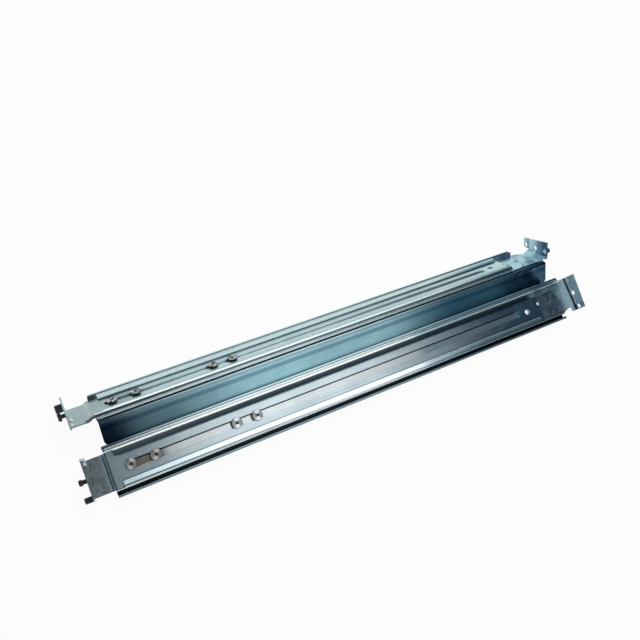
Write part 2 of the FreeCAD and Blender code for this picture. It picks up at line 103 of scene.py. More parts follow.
def shader_group(name, takes, gives):
    """An empty shader group with named inputs (name, kind, start value) and outputs (name, kind)."""
    tree = bpy.data.node_groups.new(name, "ShaderNodeTree")
    for label, kind, start in takes:
        tree.interface.new_socket(name=label, in_out="INPUT", socket_type=kind).default_value = start
    for label, kind in gives:
        tree.interface.new_socket(name=label, in_out="OUTPUT", socket_type=kind)
    return tree, tree.nodes.new("NodeGroupInput").outputs, tree.nodes.new("NodeGroupOutput").inputs


# Plated sheet: rolling streaks along the rail, cloudy plating and a fine crystal grain
ROLLED_STRETCH = (7, 420, 420)
NOISE_MIDDLE = 0.5
CLOUD_SCALE = 45
GRAIN_SCALE = 2600
GRAIN_SHARE = 0.08
TONE_CONTRAST = 2.2
TONE_LEVEL = 0.6
ROUGH_CONTRAST = -0.2
plated_sheet, take, give = shader_group(
    "plated_sheet",
    [
        ("Light", "NodeSocketColor", (0.7, 0.8, 0.8, 1)),
        ("Deep", "NodeSocketColor", (0.4, 0.5, 0.5, 1)),
        ("Streaks", "NodeSocketFloat", 0.5),
        ("Clouds", "NodeSocketFloat", 0.5),
        ("Rough", "NodeSocketFloat", 0.3),
    ],
    [("Colour", "NodeSocketColor"), ("Roughness", "NodeSocketFloat"), ("Height", "NodeSocketFloat")],
)
spot = object_spot(plated_sheet)
drawn = put(plated_sheet, "ShaderNodeMapping", {"Vector": spot, "Scale": ROLLED_STRETCH}).outputs[0]
streak = cloudy(plated_sheet, drawn, scale=1, detail=2)
cloud = cloudy(plated_sheet, spot, CLOUD_SCALE, detail=4)
grain = cloudy(plated_sheet, spot, GRAIN_SCALE, detail=2)
streak_part = calc(plated_sheet, "SUBTRACT", streak, NOISE_MIDDLE)
streak_part = calc(plated_sheet, "MULTIPLY", streak_part, take["Streaks"])
cloud_part = calc(plated_sheet, "SUBTRACT", cloud, NOISE_MIDDLE)
cloud_part = calc(plated_sheet, "MULTIPLY", cloud_part, take["Clouds"])
uneven = calc(plated_sheet, "ADD", streak_part, cloud_part)
level = calc(plated_sheet, "ADD", calc(plated_sheet, "MULTIPLY", uneven, TONE_CONTRAST), TONE_LEVEL)
level = put(plated_sheet, "ShaderNodeClamp", {"Value": level}).outputs[0]
tone = blend_colour(plated_sheet, level, take["Deep"], take["Light"])
plated_sheet.links.new(tone, give["Colour"])
rough = calc(plated_sheet, "ADD", calc(plated_sheet, "MULTIPLY", uneven, ROUGH_CONTRAST), take["Rough"])
plated_sheet.links.new(rough, give["Roughness"])
relief = calc(plated_sheet, "ADD", streak, calc(plated_sheet, "MULTIPLY", grain, GRAIN_SHARE))
plated_sheet.links.new(relief, give["Height"])

# Place on the rail: how far across the web from the ridge, and how far out from the web
rail_place, take, give = shader_group(
    "rail_place",
    [],
    [("Along", "NodeSocketFloat"), ("Across", "NodeSocketFloat"), ("Out", "NodeSocketFloat")],
)
spot = put(rail_place, "ShaderNodeSeparateXYZ", {0: object_spot(rail_place)}).outputs
side = calc(rail_place, "SUBTRACT", calc(rail_place, "ABSOLUTE", spot["Y"]), RIDGE_SIDE)
drop = calc(rail_place, "SUBTRACT", RIDGE_HEIGHT, spot["Z"])
across = calc(rail_place, "ADD", calc(rail_place, "MULTIPLY", side, math.cos(tilt)),
              calc(rail_place, "MULTIPLY", drop, math.sin(tilt)))
out = calc(rail_place, "SUBTRACT", calc(rail_place, "MULTIPLY", side, math.sin(tilt)),
           calc(rail_place, "MULTIPLY", drop, math.cos(tilt)))
rail_place.links.new(spot["X"], give["Along"])
rail_place.links.new(across, give["Across"])
rail_place.links.new(out, give["Out"])

# Marks: cloudy patches of oil, grime and dark rinse, and of painted shade, shadows, reflections and
# highlights, inside a field of the rail.
# Start and End lie along it, Low and High across the web, Bottom and Top out from the web.
SOLID_FILL = 1.4
PATCH_THIN = 0.35
PATCH_FULL = 0.65
plating_marks, take, give = shader_group(
    "plating_marks",
    [
        ("Start", "NodeSocketFloat", -1.0),
        ("End", "NodeSocketFloat", 1.0),
        ("Fade", "NodeSocketFloat", 0.01),
        ("Low", "NodeSocketFloat", -1.0),
        ("High", "NodeSocketFloat", 1.0),
        ("Bottom", "NodeSocketFloat", -1.0),
        ("Top", "NodeSocketFloat", 1.0),
        ("Blur", "NodeSocketFloat", 0.0003),
        ("Patch", "NodeSocketFloat", 60.0),
        ("Fill", "NodeSocketFloat", SOLID_FILL),
    ],
    [("Mask", "NodeSocketFloat")],
)
place = put(plating_marks, "ShaderNodeGroup", node_tree=rail_place).outputs


def field(value, low, high, soft):
    """A mask that rises after low and falls before high."""
    rise = remap(plating_marks, value, low, calc(plating_marks, "ADD", low, soft), kind="SMOOTHSTEP")
    falling = calc(plating_marks, "SUBTRACT", high, soft)
    fall = remap(plating_marks, value, falling, high, 1.0, 0.0, "SMOOTHSTEP")
    return calc(plating_marks, "MULTIPLY", rise, fall)


zone = calc(plating_marks, "MULTIPLY", field(place["Along"], take["Start"], take["End"], take["Fade"]),
            field(place["Across"], take["Low"], take["High"], take["Blur"]))
zone = calc(plating_marks, "MULTIPLY", zone, field(place["Out"], take["Bottom"], take["Top"], take["Blur"]))
sockets = {"Vector": object_spot(plating_marks), "Scale": take["Patch"], "Detail": 5, "Distortion": 1.2}
patch = put(plating_marks, "ShaderNodeTexNoise", sockets).outputs[0]
patch = calc(plating_marks, "ADD", patch, calc(plating_marks, "SUBTRACT", take["Fill"], NOISE_MIDDLE))
patch = remap(plating_marks, patch, PATCH_THIN, PATCH_FULL, kind="SMOOTHSTEP")
plating_marks.links.new(calc(plating_marks, "MULTIPLY", zone, patch), give["Mask"])


def mark(tint, strength, **limits):
    """A mark for the plating: the tint to multiply it by, the strength, and the limits of its field."""
    return (*tint, 1), strength, limits


def mark_mask(tree, limits):
    """How strongly the field within these limits is marked, from 0 to 1."""
    return put(tree, "ShaderNodeGroup", limits, node_tree=plating_marks).outputs["Mask"]


# Painted shade in the corners, from ambient occlusion, and the plating's own metal
CORNER_SHADE_TINT = (0.012, 0.02, 0.026, 1)
CORNER_SHADE_REACH = 0.0045
CORNER_SHADE_FULL = 0.12
CORNER_SHADE_NONE = 0.6
CORNER_SHADE_STRENGTH = 0.92
PLATED_METAL = 0.92
CHALKY_METAL = 0.4
DENT_STRENGTH = 0.12
DENT_DEPTH = 0.0001


def plated_material(name, light, deep, streaks, clouds, rough, marks=(), chalk=None, corner_darkening=CORNER_SHADE_STRENGTH):
    """Zinc plating with its streaks and marks.

    Chalk is a field where the plating is matt and less metallic, and corner_darkening sets how strongly
    painted shade darkens the corners.
    """
    material = bpy.data.materials.new(name)
    material.use_nodes = True
    tree = material.node_tree
    surface = tree.nodes["Principled BSDF"]
    surface.inputs["Metallic"].default_value = PLATED_METAL
    sockets = {"Light": light, "Deep": deep, "Streaks": streaks, "Clouds": clouds, "Rough": rough}
    skin = put(tree, "ShaderNodeGroup", sockets, node_tree=plated_sheet).outputs
    tone = skin["Colour"]
    for tint, strength, limits in marks:
        amount = calc(tree, "MULTIPLY", mark_mask(tree, limits), strength)
        tone = blend_colour(tree, amount, tone, tint, "MULTIPLY")
    # Painted shade: ambient occlusion darkens the colour in corners, gaps and under the lips
    depth = put(tree, "ShaderNodeAmbientOcclusion", {"Distance": CORNER_SHADE_REACH}, samples=8).outputs["AO"]
    corner_shade_amount = remap(tree, depth, CORNER_SHADE_FULL, CORNER_SHADE_NONE, corner_darkening, 0.0)
    tree.links.new(blend_colour(tree, corner_shade_amount, tone, CORNER_SHADE_TINT), surface.inputs["Base Color"])
    tree.links.new(skin["Roughness"], surface.inputs["Roughness"])
    if chalk:
        metal = remap(tree, mark_mask(tree, chalk), 0.0, 1.0, PLATED_METAL, CHALKY_METAL)
        tree.links.new(metal, surface.inputs["Metallic"])
    sockets = {"Height": skin["Height"], "Strength": DENT_STRENGTH, "Distance": DENT_DEPTH}
    tree.links.new(put(tree, "ShaderNodeBump", sockets).outputs["Normal"], surface.inputs["Normal"])
    return material


# Rolled edges: every sharp edge of a piece is rounded, and its faces stay flat
WELD = 1e-6
SHARP_EDGE = math.radians(35)
FLAT_WEIGHT = 90


def finished_copy(node, name, materials, edge, steps=2):
    """A merged copy of a node with rolled edges; its edges take the last material."""
    shape = bmesh.new()
    shape.from_mesh(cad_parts[node].data)
    bmesh.ops.remove_doubles(shape, verts=shape.verts, dist=WELD)
    for face in shape.faces:
        face.material_index = 0
        face.smooth = True
    mesh = bpy.data.meshes.new(name)
    shape.to_mesh(mesh)
    shape.free()
    for material in materials:
        mesh.materials.append(material)
    piece = bpy.data.objects.new(name, mesh)
    scene.collection.objects.link(piece)
    rolled = piece.modifiers.new("rolled_edges", "BEVEL")
    rolled.width = edge
    rolled.segments = steps
    rolled.limit_method = "ANGLE"
    rolled.angle_limit = SHARP_EDGE
    rolled.material = len(materials) - 1
    flat = piece.modifiers.new("flat_faces", "WEIGHTED_NORMAL")
    flat.weight = FLAT_WEIGHT
    bpy.context.view_layer.update()
    seen = piece.evaluated_get(bpy.context.evaluated_depsgraph_get())
    final = bpy.data.meshes.new_from_object(seen)
    piece.modifiers.clear()
    piece.data = final
    return piece


# Shelf marks: painted dark reflections at both ends of the ledge and in a band along it, and a painted
# highlight along its bend;
# the ledge darkens towards its lower edge, and painted shadows lie by the channel's foot and in the hem's
# groove
LEDGE_SIDE = 0.02
GROOVE_LOW = 0.0412
GROOVE_HIGH = 0.0456
# Painted dark reflections: the ledge is darker and bluer towards both ends
rear_dark_reflection = mark((0.32, 0.45, 0.53), 1.0, Start=0.05, Fade=0.10, High=LEDGE_SIDE, Patch=22, Fill=0.95)
rear_navy_reflection = mark((0.28, 0.38, 0.47), 1.0, Start=0.19, Fade=0.05, High=LEDGE_SIDE, Patch=70, Fill=0.6)
rear_end_dark_reflection = mark((0.68, 0.74, 0.80), 0.95, Start=0.235, Fade=0.02, High=LEDGE_SIDE, Patch=110, Fill=0.6)
front_dark_reflection = mark((0.44, 0.47, 0.50), 1.0, End=-0.09, Fade=0.14, High=LEDGE_SIDE, Patch=22, Fill=0.95)
front_navy_reflection = mark((0.15, 0.22, 0.32), 0.95, End=-0.212, Fade=0.035, High=LEDGE_SIDE, Patch=45, Fill=0.95)
web_tone = mark((0.89, 0.92, 0.93), 1.0, Low=0.03)
# Painted reflection: a darker band along the middle of the ledge
ledge_reflection_band = mark((0.57, 0.63, 0.70), 0.9, High=LEDGE_SIDE, Bottom=-0.0108, Top=-0.0043, Blur=0.0022,
                  Patch=14, Fill=0.95)
ledge_shine = mark((1.30, 1.28, 1.26), 0.9, High=LEDGE_SIDE, Bottom=-0.0049, Top=-0.0031, Blur=0.0005)
ledge_edge = mark((0.45, 0.55, 0.60), 0.9, High=LEDGE_SIDE, Top=-0.0225, Blur=0.002)
# Painted shadow in the corner where the channel's foot meets the shelf's bend
shelf_foot_shadow = mark((0.06, 0.08, 0.10), 0.95, Low=0.0017, High=0.0032, Bottom=-0.001)
# Painted shadow in the groove between the channel's top wall and the hem
hem_groove_shadow = mark((0.015, 0.025, 0.03), 1.0, Low=GROOVE_LOW, High=GROOVE_HIGH)
dull_hem = mark((0.50, 0.51, 0.56), 0.9, Low=0.0453, Patch=40, Fill=1.0)
hem_fold = mark((0.30, 0.34, 0.38), 0.9, Low=0.0467)
# A paler painted shadow in the same groove
pale_hem_groove_shadow = mark((0.55, 0.62, 0.65), 0.9, Low=GROOVE_LOW, High=GROOVE_HIGH)
dull_ridge = mark((0.55, 0.62, 0.66), 0.9, Low=-0.0016, High=0.0018, Bottom=-0.0018)
shelf_marks = [rear_dark_reflection, rear_navy_reflection, rear_end_dark_reflection, front_dark_reflection, front_navy_reflection, web_tone,
               ledge_reflection_band, ledge_shine, ledge_edge, shelf_foot_shadow]
own_marks = {"left": [hem_groove_shadow, dull_hem, hem_fold], "right": [pale_hem_groove_shadow, dull_ridge]}
# Edge material: bare worn zinc, made brighter than the faces as a painted highlight along every rolled edge
worn_edge_and_highlight = plated_material("worn_edge_and_highlight", EDGE_LIGHT, EDGE_DEEP, streaks=0.5, clouds=0.3, rough=0.2)
for tag in SIDES:
    shelf_zinc = plated_material(tag + "_shelf_zinc", SHELF_LIGHT, SHELF_DEEP, streaks=0.25, clouds=0.35,
                                 rough=0.29, marks=shelf_marks + own_marks[tag])
    shelf = finished_copy(tag + "_shelf", tag + "_folded_shelf", [shelf_zinc, worn_edge_and_highlight], SHELF_EDGE)
    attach(shelf, "rails")
    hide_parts(tag + "_shelf")

# Channels: rolled guide sections that lie on the webs, with a foot, two walls and curled lips.
# Brighter zinc than the shelves; the rear end is stepped up and bent into a rack flange.
# Guide rivets hold them to the shelves, and the slider runs under their lips.
CHANNEL_EDGE = 0.00036
CHANNEL_LIGHT = (0.90, 0.95, 0.95, 1)
CHANNEL_DEEP = (0.64, 0.73, 0.76, 1)
WALL_LOW = 0.0046
WALL_HIGH = 0.006
WALL_TOP = 0.0056
WALL_REAR = 0.25
LIP_BOTTOM = 0.0042
LIP_REAR = 0.222
CREST_BOTTOM = 0.005
NECK_START = 0.258

# Both channels: a painted shadow along the foot; the neck and the flange are chalky
channel_foot_shadow = mark((0.06, 0.08, 0.09), 1.0, High=0.0031, Blur=0.0002, End=WALL_REAR)
chalky_end = {"Start": NECK_START}

# Left channel: painted shade on the ridge-side lip, bright lip at the top, oil in the floor at the front
left_blue = mark((0.52, 0.64, 0.72), 0.95, Start=0.06, End=0.268, Fade=0.02)
# The strip left out between the neck and the flange marks stays pale, as a painted highlight along the bend
left_neck = mark((0.44, 0.57, 0.65), 0.9, Start=NECK_START, Fade=0.008, Top=0.0066, Blur=0.0005,
                 Patch=90, Fill=0.9)
left_flange = mark((0.40, 0.53, 0.62), 0.9, Start=NECK_START, Fade=0.008, Bottom=0.0078, Blur=0.0006,
                   Patch=90, Fill=0.9)
# Painted shadow in the crease of the flange's bend
left_fold_shadow = mark((0.10, 0.14, 0.17), 0.95, Start=0.2694, End=0.2724, Fade=0.0006,
                 Bottom=0.0028, Top=0.0064, Blur=0.0008)
# Painted dark reflection: a dark band along the outer face of the ridge-side wall
left_wall_dark_reflection = mark((0.35, 0.42, 0.45), 0.9, Low=WALL_LOW, High=WALL_HIGH, Bottom=0.003, Top=0.0054,
                 End=WALL_REAR)
slot_shadow = mark((0.09, 0.10, 0.11), 1.0, Low=0.0192, High=0.0213, End=0.2)
left_smudges = mark((0.40, 0.45, 0.50), 0.95, Start=0.222, End=0.262, Fade=0.006, Patch=120, Fill=0.5)
# Painted shade on the ridge-side lip's slope and along its free edge
left_lip_shade = mark((0.07, 0.09, 0.105), 0.97, Low=0.0074, High=0.0124, Blur=0.0005, Bottom=LIP_BOTTOM,
                End=LIP_REAR)
left_lip_edge_shade = mark((0.25, 0.42, 0.50), 0.95, Low=0.0105, High=0.0126, Bottom=LIP_BOTTOM, End=LIP_REAR)
left_crest = mark((0.28, 0.32, 0.34), 0.95, End=0.0, Fade=0.13, Low=0.0385, High=0.0400, Bottom=CREST_BOTTOM)
front_lip = mark((0.58, 0.66, 0.70), 0.95, End=-0.1, Fade=0.12, Low=0.0335, High=0.0396, Bottom=LIP_BOTTOM,
                 Patch=50, Fill=1.2)
rear_lip = mark((0.42, 0.47, 0.50), 0.9, Start=0.08, Fade=0.08, Low=0.0364, High=0.0422, Bottom=LIP_BOTTOM)
oily_floor = mark((0.40, 0.31, 0.26), 0.95, Start=-0.265, End=-0.2, Fade=0.012, Low=0.018, High=0.029,
                  Fill=1.1)

# Right channel: painted dark reflection on the ridge-side wall, painted shade in the mouth at the front, a
# blue flange
right_blue = mark((0.58, 0.80, 0.88), 0.9, Start=0.16, Fade=0.06)
right_smudges = mark((0.18, 0.30, 0.45), 0.9, Start=0.236, End=0.268, Fade=0.006, Patch=75, Fill=0.46)
right_flange = mark((0.30, 0.42, 0.55), 0.9, Start=0.266, Fade=0.003, High=0.026, Blur=0.01)
# Painted dark reflection along the outer face of the ridge-side wall
right_wall_dark_reflection = mark((0.22, 0.28, 0.32), 0.92, Low=WALL_LOW, High=WALL_HIGH, Bottom=0.0028, Top=WALL_TOP,
                  End=WALL_REAR)
# The same painted dark reflection, stronger towards the front
right_front_wall_dark_reflection = mark((0.20, 0.25, 0.30), 0.9, End=-0.12, Fade=0.10, Low=WALL_LOW, High=WALL_HIGH,
                        Bottom=0.0026, Top=WALL_TOP)
# Painted shade in the mouth of the channel at the front
right_mouth_shade = mark((0.14, 0.16, 0.17), 0.9, End=-0.244, Fade=0.002, Low=0.0385)
right_lip = mark((0.72, 0.80, 0.80), 0.6, Low=0.0346, High=0.0362, Bottom=LIP_BOTTOM)
right_crest = mark((0.40, 0.50, 0.54), 0.9, Low=0.0382, High=0.0391, Blur=0.0002, Bottom=CREST_BOTTOM)
right_rear_lip = mark((0.35, 0.45, 0.50), 0.9, Start=0.12, Fade=0.08, Low=0.0335, High=0.0375,
                      Bottom=LIP_BOTTOM)
right_rear_ridge = mark((0.34, 0.41, 0.45), 0.9, Start=0.12, Fade=0.08, Low=0.004, High=0.0126,
                        Bottom=LIP_BOTTOM)
channel_marks = {
    "left": [channel_foot_shadow, left_blue, left_neck, left_flange, left_fold_shadow, left_wall_dark_reflection, slot_shadow, left_smudges,
             left_lip_shade, left_lip_edge_shade, left_crest, front_lip, rear_lip, oily_floor],
    "right": [channel_foot_shadow, right_blue, right_smudges, right_flange, right_wall_dark_reflection, right_front_wall_dark_reflection, right_mouth_shade,
              right_lip, right_crest, right_rear_lip, right_rear_ridge],
}
for tag in SIDES:
    channel_zinc = plated_material(tag + "_channel_zinc", CHANNEL_LIGHT, CHANNEL_DEEP, streaks=0.3,
                                   clouds=0.35, rough=0.26, marks=channel_marks[tag], chalk=chalky_end)
    channel = finished_copy(tag + "_channel", tag + "_guide_channel", [channel_zinc, worn_edge_and_highlight], CHANNEL_EDGE)
    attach(channel, "rails")
    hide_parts(tag + "_channel")

# Sliders: one slotted strip for each rail, with a sloped step, a front plate and the front flange.
# Bright zinc, with painted shadows beside the lips; the front plate is brown-grey where hands and oil have
# marked it.
# Each is drawn out of its channel at the front to reach the rack's front posts.
SLIDER_EDGE = 0.0003
SLIDER_LIGHT = (0.76, 0.87, 0.90, 1)
SLIDER_DEEP = (0.50, 0.62, 0.67, 1)
# How strongly painted shade darkens the corners of each slider
SLIDER_CORNER_DARKENING = {"left": CORNER_SHADE_STRENGTH, "right": 0.3}
left_plate = mark((0.78, 0.80, 0.82), 0.95, End=-0.256, Fade=0.004, Patch=60, Fill=0.75)
left_swirls = mark((0.85, 0.89, 0.95), 0.9, Start=-0.262, End=-0.2, Patch=70, Fill=0.5)
# Painted shade in the bends of the sloped step
left_bend_shade = mark((0.12, 0.15, 0.17), 0.9, Start=-0.2566, End=-0.2548, Fade=0.0004)
left_crease_shade = mark((0.25, 0.30, 0.34), 0.9, Start=-0.2586, End=-0.2576, Fade=0.0003)
left_brown = mark((0.58, 0.50, 0.46), 0.8, End=-0.26, Fade=0.004, Patch=150, Fill=0.5)
deep_rear = mark((0.36, 0.50, 0.62), 0.95, Start=0.06, Fade=0.14)
# Painted shadows on the slider beside the free edges of the lips
top_lip_shadow = mark((0.60, 0.63, 0.66), 0.9, Start=-0.25, Fade=0.003, Low=0.0331, High=0.035, Blur=0.0006)
ridge_lip_shadow = mark((0.26, 0.30, 0.33), 0.9, Start=-0.246, End=0.2, Fade=0.002, Low=0.0118, High=0.0134)
rear_stain = mark((0.55, 0.60, 0.64), 0.9, Start=0.1, Fade=0.08, Patch=70, Fill=0.65)
right_plate = mark((0.56, 0.58, 0.56), 0.85, End=-0.2, Fade=0.02, Patch=60, Fill=0.8)
right_dull = mark((0.87, 0.92, 0.91), 0.9, Start=-0.25, Fade=0.05, Patch=40, Fill=0.95)
right_hip = mark((0.20, 0.22, 0.23), 0.9, Start=-0.262, End=-0.249, Fade=0.002, High=0.0102, Blur=0.0006)
slider_marks = {
    "left": [left_plate, left_swirls, left_bend_shade, left_crease_shade, left_brown, deep_rear, top_lip_shadow, ridge_lip_shadow,
             rear_stain],
    "right": [right_plate, right_dull, right_hip],
}
for tag in SIDES:
    slider_zinc = plated_material(tag + "_slider_zinc", SLIDER_LIGHT, SLIDER_DEEP, streaks=0.35, clouds=0.35,
                                  rough=0.25, marks=slider_marks[tag], corner_darkening=SLIDER_CORNER_DARKENING[tag])
    slider = finished_copy(tag + "_slider", tag + "_slotted_slider", [slider_zinc, worn_edge_and_highlight], SLIDER_EDGE)
    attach(slider, tag + "_extension")
    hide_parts(tag + "_slider")

# Guide rivets: turned steel rivets in the slots of the sliders, four for each rail.
# Each has a flat head with fine turning grooves and a dished centre, and a plain shank.
# They are pressed through channel and shelf, and their heads hold the sliders down.
RIVETS_PER_RAIL = 4
RIVET_HEAD = 0.0105
RIVET_SHANK = 0.007
RIVET_HEAD_HEIGHT = 0.0016
RIVET_RIM = 0.0004
RIVET_DISH = 0.0018
RIVET_DISH_DEPTH = 0.0007
RIVET_DISH_FLOOR = 0.3
RIVET_GROOVE = 0.00006
RIVET_GROOVES = 7.0
RIVET_SIDES = 64
SHEETS_BELOW_HEAD = 0.0051
RIVET_LIGHT = (0.88, 0.90, 0.91, 1)
RIVET_DEEP = (0.62, 0.63, 0.63, 1)
RIVET_RIM_SHADE = (0.03, 0.03, 0.03, 1)
RIVET_BROWN = (0.62, 0.58, 0.55, 1)
RIVET_STAIN = (0.10, 0.11, 0.12, 1)

turned_rivet = bpy.data.node_groups.new("turned_rivet", "GeometryNodeTree")
turned_rivet.interface.new_socket(name="Geometry", in_out="INPUT", socket_type="NodeSocketGeometry")
for label, start in (("Head Radius", RIVET_HEAD / 2), ("Shank Radius", RIVET_SHANK / 2),
                     ("Head Height", RIVET_HEAD_HEIGHT), ("Shank Length", SHEETS_BELOW_HEAD),
                     ("Dish Radius", RIVET_DISH), ("Groove Depth", RIVET_GROOVE), ("Grooves", RIVET_GROOVES)):
    size = turned_rivet.interface.new_socket(name=label, in_out="INPUT", socket_type="NodeSocketFloat")
    size.default_value = start
turned_rivet.interface.new_socket(name="Material", in_out="INPUT", socket_type="NodeSocketMaterial")
turned_rivet.interface.new_socket(name="Geometry", in_out="OUTPUT", socket_type="NodeSocketGeometry")
take = turned_rivet.nodes.new("NodeGroupInput").outputs
give = turned_rivet.nodes.new("NodeGroupOutput").inputs

# The blank is a grid that is wrapped round the axis: one side is the profile's way, the other the turn.
# The way goes over the top of the head, the rounded rim, the underside, the shank and the closed end.
GRID_SIDE = 1.0
PROFILE_ROWS = 60
TOP_EDGE = 0.68
TOP_END = 0.70
RIM_END = 0.80
UNDER_END = 0.86
SHANK_END = 0.94
blank = put(turned_rivet, "GeometryNodeMeshGrid", {
    "Size X": GRID_SIDE, "Size Y": GRID_SIDE, "Vertices X": PROFILE_ROWS, "Vertices Y": RIVET_SIDES + 1,
})
here = put(turned_rivet, "GeometryNodeInputPosition").outputs[0]
here = put(turned_rivet, "ShaderNodeSeparateXYZ", {0: here}).outputs
way = calc(turned_rivet, "ADD", here["X"], GRID_SIDE / 2)
turn = calc(turned_rivet, "MULTIPLY", here["Y"], 2 * math.pi)
rim_in = calc(turned_rivet, "SUBTRACT", take["Head Radius"], RIVET_RIM)
bulge = calc(turned_rivet, "SINE", remap(turned_rivet, way, TOP_END, RIM_END, 0.0, math.pi))
step_in = calc(turned_rivet, "SUBTRACT", take["Shank Radius"], rim_in)
closing = calc(turned_rivet, "MULTIPLY", take["Shank Radius"], -1.0)
radius = remap(turned_rivet, way, 0.0, TOP_END, 0.0, rim_in)
radius = calc(turned_rivet, "ADD", radius, calc(turned_rivet, "MULTIPLY", bulge, RIVET_RIM))
radius = calc(turned_rivet, "ADD", radius, remap(turned_rivet, way, RIM_END, UNDER_END, 0.0, step_in))
radius = calc(turned_rivet, "ADD", radius, remap(turned_rivet, way, SHANK_END, 1.0, 0.0, closing))
head_drop = calc(turned_rivet, "MULTIPLY", take["Head Height"], -1.0)
shank_drop = calc(turned_rivet, "MULTIPLY", take["Shank Length"], -1.0)
height = remap(turned_rivet, way, TOP_END, RIM_END, 0.0, head_drop)
height = calc(turned_rivet, "ADD", height, remap(turned_rivet, way, UNDER_END, SHANK_END, 0.0, shank_drop))
on_top = remap(turned_rivet, way, TOP_EDGE, TOP_END, 1.0, 0.0)
wave = remap(turned_rivet, way, 0.0, TOP_END, 0.0, 2 * math.pi)
wave = calc(turned_rivet, "COSINE", calc(turned_rivet, "MULTIPLY", wave, take["Grooves"]))
groove = calc(turned_rivet, "MULTIPLY", calc(turned_rivet, "MULTIPLY", wave, on_top), take["Groove Depth"])
height = calc(turned_rivet, "ADD", height, groove)
dish = calc(turned_rivet, "DIVIDE", radius, take["Dish Radius"])
dish = remap(turned_rivet, dish, RIVET_DISH_FLOOR, 1.0, 1.0, 0.0, "SMOOTHSTEP")
sink = calc(turned_rivet, "MULTIPLY", calc(turned_rivet, "MULTIPLY", dish, on_top), -RIVET_DISH_DEPTH)
height = calc(turned_rivet, "ADD", height, sink)
lathe = put(turned_rivet, "ShaderNodeCombineXYZ", {
    0: calc(turned_rivet, "MULTIPLY", radius, calc(turned_rivet, "COSINE", turn)),
    1: calc(turned_rivet, "MULTIPLY", radius, calc(turned_rivet, "SINE", turn)),
    2: height,
}).outputs[0]
formed = put(turned_rivet, "GeometryNodeSetPosition", {"Geometry": blank.outputs["Mesh"], "Position": lathe})
closed = put(turned_rivet, "GeometryNodeMergeByDistance", {"Geometry": formed.outputs[0], "Distance": WELD})
smooth = put(turned_rivet, "GeometryNodeSetShadeSmooth", {"Geometry": closed.outputs[0]})
lean = put(turned_rivet, "GeometryNodeInputNamedAttribute", {"Name": "lean"}, data_type="FLOAT_VECTOR")
spread = put(turned_rivet, "GeometryNodeInstanceOnPoints", {
    "Points": take["Geometry"], "Instance": smooth.outputs[0], "Rotation": lean.outputs["Attribute"],
})
solid = put(turned_rivet, "GeometryNodeRealizeInstances", {"Geometry": spread.outputs[0]})
sockets = {"Geometry": solid.outputs[0], "Material": take["Material"]}
dressed = put(turned_rivet, "GeometryNodeSetMaterial", sockets)
turned_rivet.links.new(dressed.outputs[0], give["Geometry"])

# Rivet steel: painted shade on the rim and in the dish of each head, brown at the left rail's front, stains
# on the right rail
RIM_SHADE_FULL_BELOW = 0.0050
RIM_SHADE_NONE_ABOVE = 0.0052
RIM_SHADE_SHARE = 0.97
MIDDLE_GAP = 0.001
rivet_steel = plated_material("rivet_steel", RIVET_LIGHT, RIVET_DEEP, streaks=0.2, clouds=0.4, rough=0.16)
tree = rivet_steel.node_tree
surface = tree.nodes["Principled BSDF"]
# Painted shade on the rim and in the dished centre of each head, found by height out from the web
out = put(tree, "ShaderNodeGroup", node_tree=rail_place).outputs["Out"]
rim_shade = remap(tree, out, RIM_SHADE_FULL_BELOW, RIM_SHADE_NONE_ABOVE, RIM_SHADE_SHARE, 0.0)
tone = blend_colour(tree, rim_shade, surface.inputs["Base Color"].links[0].from_socket, RIVET_RIM_SHADE)
side = put(tree, "ShaderNodeSeparateXYZ", {0: object_spot(tree)}).outputs["Y"]
right_rail = remap(tree, side, -MIDDLE_GAP, MIDDLE_GAP)
left_rail = calc(tree, "SUBTRACT", 1.0, right_rail)
left_front = calc(tree, "MULTIPLY", mark_mask(tree, {"End": -0.19, "Fade": 0.02}), left_rail)
tone = blend_colour(tree, left_front, tone, RIVET_BROWN, "MULTIPLY")
stained = calc(tree, "MULTIPLY", right_rail, mark_mask(tree, {"Patch": 230, "Fill": 0.52}))
tone = blend_colour(tree, stained, tone, RIVET_STAIN, "MULTIPLY")
tree.links.new(tone, surface.inputs["Base Color"])

# One point for each rivet, at the middle of its head, with the lean of its web
rivet_nodes = []
spots = []
leans = []
for tag, hand in (("left", -1), ("right", 1)):
    for number in range(1, RIVETS_PER_RAIL + 1):
        rivet_nodes.append("%s_guide_rivet_%d" % (tag, number))
        low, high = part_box(rivet_nodes[-1])
        rim_y = high.y if hand > 0 else low.y
        head_y = rim_y - hand * RIVET_HEAD / 2 * math.cos(tilt)
        head_z = high.z - RIVET_HEAD / 2 * math.sin(tilt)
        spots.append(Vector(((low.x + high.x) / 2, head_y, head_z)))
        leans.append(Vector((-hand * tilt, 0, 0)))
seeds = bpy.data.meshes.new("guide_rivets")
seeds.from_pydata(spots, [], [])
facing = seeds.attributes.new("lean", "FLOAT_VECTOR", "POINT")
for entry, angle in zip(facing.data, leans):
    entry.vector = angle
rivets = bpy.data.objects.new("guide_rivets", seeds)
scene.collection.objects.link(rivets)
maker = rivets.modifiers.new("turned_rivet", "NODES")
maker.node_group = turned_rivet
for item in turned_rivet.interface.items_tree:
    if item.name == "Material" and item.in_out == "INPUT":
        maker[item.identifier] = rivet_steel
bpy.context.view_layer.update()
turned = bpy.data.meshes.new_from_object(rivets.evaluated_get(bpy.context.evaluated_depsgraph_get()))
rivets.modifiers.clear()
rivets.data = turned
whole = bmesh.new()
whole.from_mesh(turned)
bmesh.ops.recalc_face_normals(whole, faces=whole.faces)
whole.to_mesh(turned)
whole.free()
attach(rivets, "rails")
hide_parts(*rivet_nodes)

